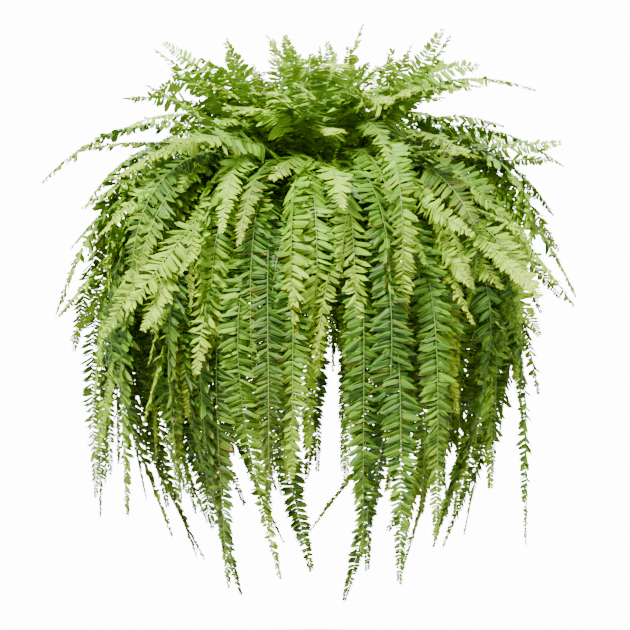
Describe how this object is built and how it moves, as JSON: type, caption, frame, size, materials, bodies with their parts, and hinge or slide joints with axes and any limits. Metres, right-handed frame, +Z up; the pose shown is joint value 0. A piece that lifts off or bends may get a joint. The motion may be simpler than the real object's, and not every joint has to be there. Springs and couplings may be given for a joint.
{
  "type": "potted fern",
  "caption": "Lush fern with arching and trailing feather-shaped fronds, growing from a plain round plastic pot that hangs by three eyes in its rim",
  "frame": {"origin": "centre of the circle through the three hanger eyes, just above the middle of the pot's rim", "axes": "+Z up along the pot's axis, +X to the right and -Y towards the viewer of the plant's best side"},
  "size_m": [0.9226, 0.796, 0.9656],
  "materials": {
    "pot_plastic": "moulded plastic, slightly satin, dusty towards the foot",
    "potting_mix": "moist peat and bark crumb, dull",
    "fern_leaf": "thin living leaf, semi-matt above, light green at the tips and dark inside the plant"
  },
  "bodies": {
    "root": {"hanging_pot": "pot_plastic", "potting_mix": "potting_mix", "heart_tuft_01": "fern_leaf", "heart_tuft_02": "fern_leaf", "heart_tuft_03": "fern_leaf", "heart_tuft_04": "fern_leaf", "heart_tuft_05": "fern_leaf", "heart_tuft_06": "fern_leaf", "heart_tuft_07": "fern_leaf", "inner_tuft_01": "fern_leaf", "inner_tuft_02": "fern_leaf", "inner_tuft_03": "fern_leaf", "inner_tuft_04": "fern_leaf", "inner_tuft_05": "fern_leaf", "inner_tuft_06": "fern_leaf", "inner_tuft_07": "fern_leaf", "inner_tuft_08": "fern_leaf", "inner_tuft_09": "fern_leaf", "outer_tuft_01": "fern_leaf", "outer_tuft_02": "fern_leaf", "outer_tuft_03": "fern_leaf", "outer_tuft_04": "fern_leaf", "outer_tuft_05": "fern_leaf", "outer_tuft_06": "fern_leaf", "outer_tuft_07": "fern_leaf", "outer_tuft_08": "fern_leaf", "outer_tuft_09": "fern_leaf", "outer_tuft_10": "fern_leaf", "outer_tuft_11": "fern_leaf", "outer_tuft_12": "fern_leaf", "outer_tuft_13": "fern_leaf", "outer_tuft_14": "fern_leaf", "outer_tuft_15": "fern_leaf", "outer_tuft_16": "fern_leaf", "outer_tuft_17": "fern_leaf", "outer_tuft_18": "fern_leaf", "outer_tuft_19": "fern_leaf", "outer_tuft_20": "fern_leaf", "outer_tuft_21": "fern_leaf", "outer_tuft_22": "fern_leaf", "second_tuft_01": "fern_leaf", "second_tuft_02": "fern_leaf", "second_tuft_03": "fern_leaf", "second_tuft_04": "fern_leaf", "second_tuft_05": "fern_leaf", "second_tuft_06": "fern_leaf", "second_tuft_07": "fern_leaf", "second_tuft_08": "fern_leaf", "second_tuft_09": "fern_leaf", "second_tuft_10": "fern_leaf", "second_tuft_11": "fern_leaf", "second_tuft_12": "fern_leaf", "second_tuft_13": "fern_leaf", "second_tuft_14": "fern_leaf"}
  },
  "joints": []
}
